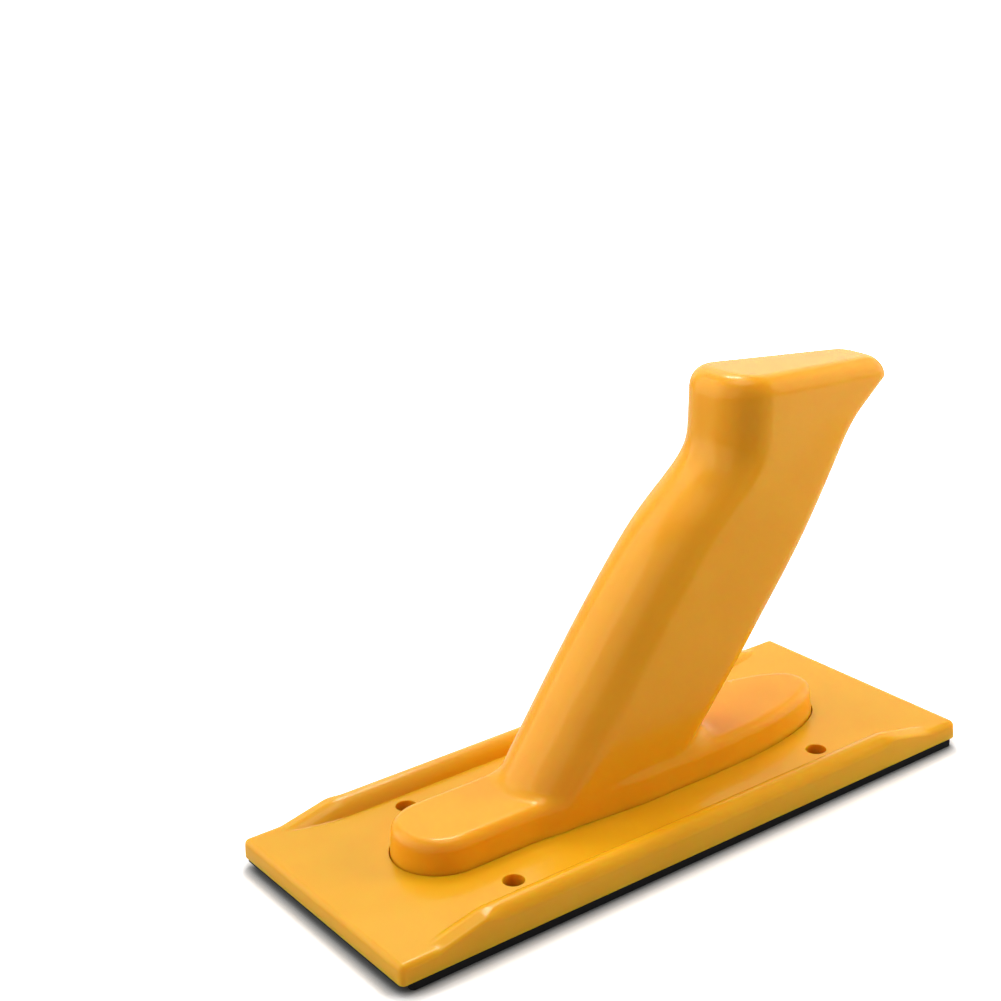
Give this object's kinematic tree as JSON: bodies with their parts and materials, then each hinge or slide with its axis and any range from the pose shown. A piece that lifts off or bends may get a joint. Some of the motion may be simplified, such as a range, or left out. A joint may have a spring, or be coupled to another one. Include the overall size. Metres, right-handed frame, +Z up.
{
  "type": "sanding block",
  "caption": "Hand block with a slanted pistol grip on a railed rectangular base plate and a thin ribbed rubber sole.",
  "frame": {"origin": "on the face of the sole's middle rib, under the middle of the plate", "axes": "+X along the plate towards the heel, the way the grip leans; +Y across the plate; +Z up, out of the plate's top"},
  "size_m": [0.2024, 0.08, 0.1216],
  "materials": {
    "plate_yellow": "smooth gloss, warm yellow-orange",
    "handle_yellow": "smooth gloss, warm yellow-orange",
    "rubber": "matt black",
    "film": "satin black",
    "screw_steel": "zinc plated"
  },
  "bodies": {
    "root": {"base_plate": "plate_yellow", "handle": "handle_yellow", "adhesive_film": "film", "rubber_sole": "rubber", "handle_screw_toe_outer": "screw_steel", "handle_screw_toe_inner": "screw_steel", "handle_screw_heel_inner": "screw_steel", "handle_screw_heel_outer": "screw_steel"}
  },
  "joints": []
}
